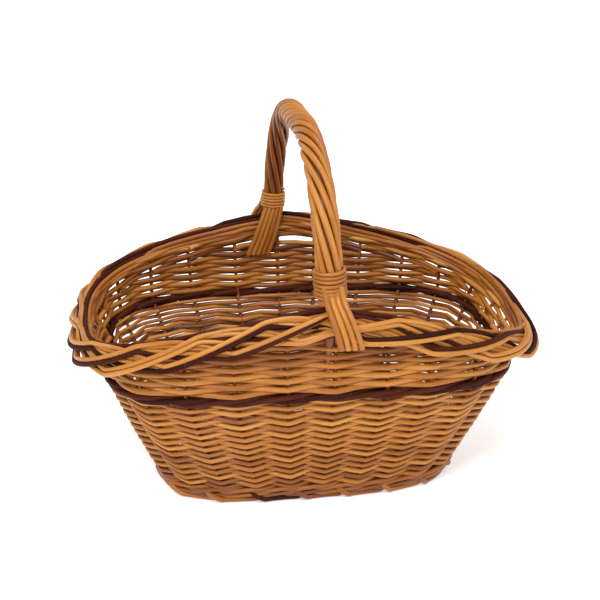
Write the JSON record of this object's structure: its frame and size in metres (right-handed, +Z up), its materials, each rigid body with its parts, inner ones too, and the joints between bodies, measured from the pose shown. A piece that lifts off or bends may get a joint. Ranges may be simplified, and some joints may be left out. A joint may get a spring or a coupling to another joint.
{
  "type": "woven market basket",
  "caption": "Oval-rectangular willow basket with flared woven sides, a dark woven band, a broad plaited border and one fixed roped handle arching across the middle.",
  "frame": {"origin": "centre of the footprint, on the ground", "axes": "+X along the long side, +Y to the back, +Z up; the handle arches across in the YZ plane"},
  "size_m": [0.4516, 0.3394, 0.3565],
  "materials": {
    "golden_willow": "satin",
    "dark_willow": "satin"
  },
  "bodies": {
    "root": {"foot_border": "golden_willow", "base_weave": "golden_willow", "base_cross_sticks": "golden_willow", "base_long_sticks": "golden_willow", "upsett_wale": "golden_willow", "lower_siding": "golden_willow", "dark_wale": "dark_willow", "upper_siding": "golden_willow", "stakes_front": "golden_willow", "stakes_back": "golden_willow", "stakes_left": "golden_willow", "stakes_right": "golden_willow", "border_strand_inner": "golden_willow", "border_strand_middle": "dark_willow", "border_strand_outer": "golden_willow", "handle_bow": "golden_willow", "handle_rope": "golden_willow", "collar_front": "golden_willow", "collar_rear": "golden_willow", "ties_front_outer": "golden_willow", "ties_front_inner": "golden_willow", "ties_rear_outer": "golden_willow", "ties_rear_inner": "golden_willow"}
  },
  "joints": []
}
